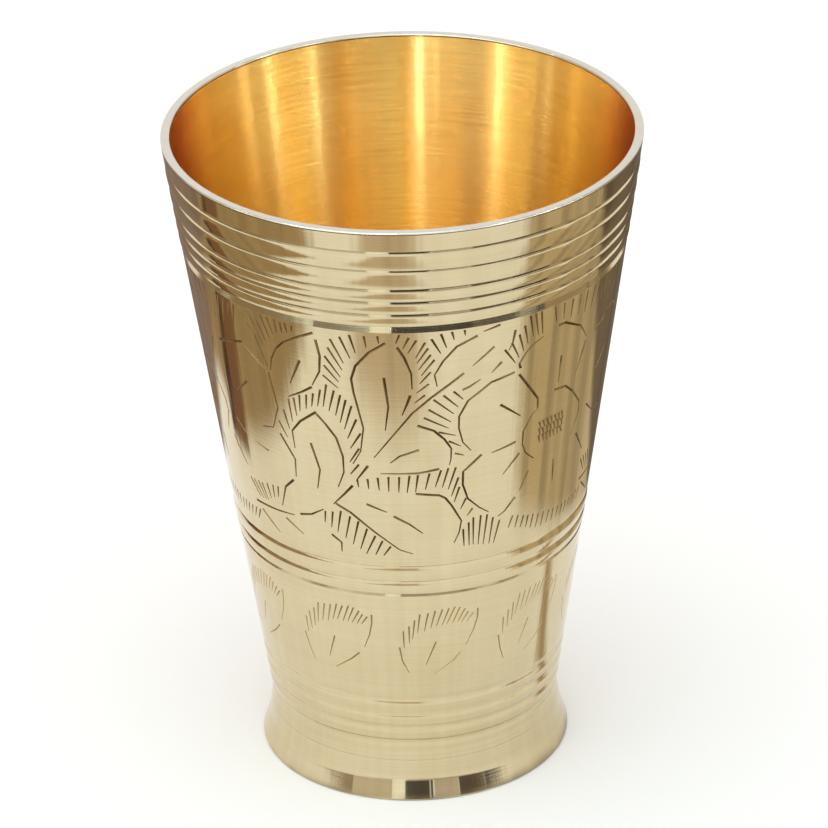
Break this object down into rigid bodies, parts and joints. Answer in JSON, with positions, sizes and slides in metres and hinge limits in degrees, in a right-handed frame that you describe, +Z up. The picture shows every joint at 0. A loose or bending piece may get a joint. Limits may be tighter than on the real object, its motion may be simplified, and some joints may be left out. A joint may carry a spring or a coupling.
{
  "type": "lassi glass",
  "caption": "Tapered brass tumbler with turned reeds and engraved panels on a low flared foot, for drinking lassi.",
  "frame": {"origin": "centre of the ring that the foot stands on", "axes": "+Z up along the turning axis, +Y away from the viewer of the picture, +X to the right"},
  "size_m": [0.08, 0.08, 0.1137],
  "materials": {
    "polished_brass": "mirror polished over fine turning marks",
    "turned_brass": "turned, satin",
    "brazing_spelter": "as run, dull"
  },
  "bodies": {
    "root": {"tapered_wall": "polished_brass", "flared_foot": "polished_brass", "floor_disc": "turned_brass", "spelter_fillet": "brazing_spelter"}
  },
  "joints": []
}
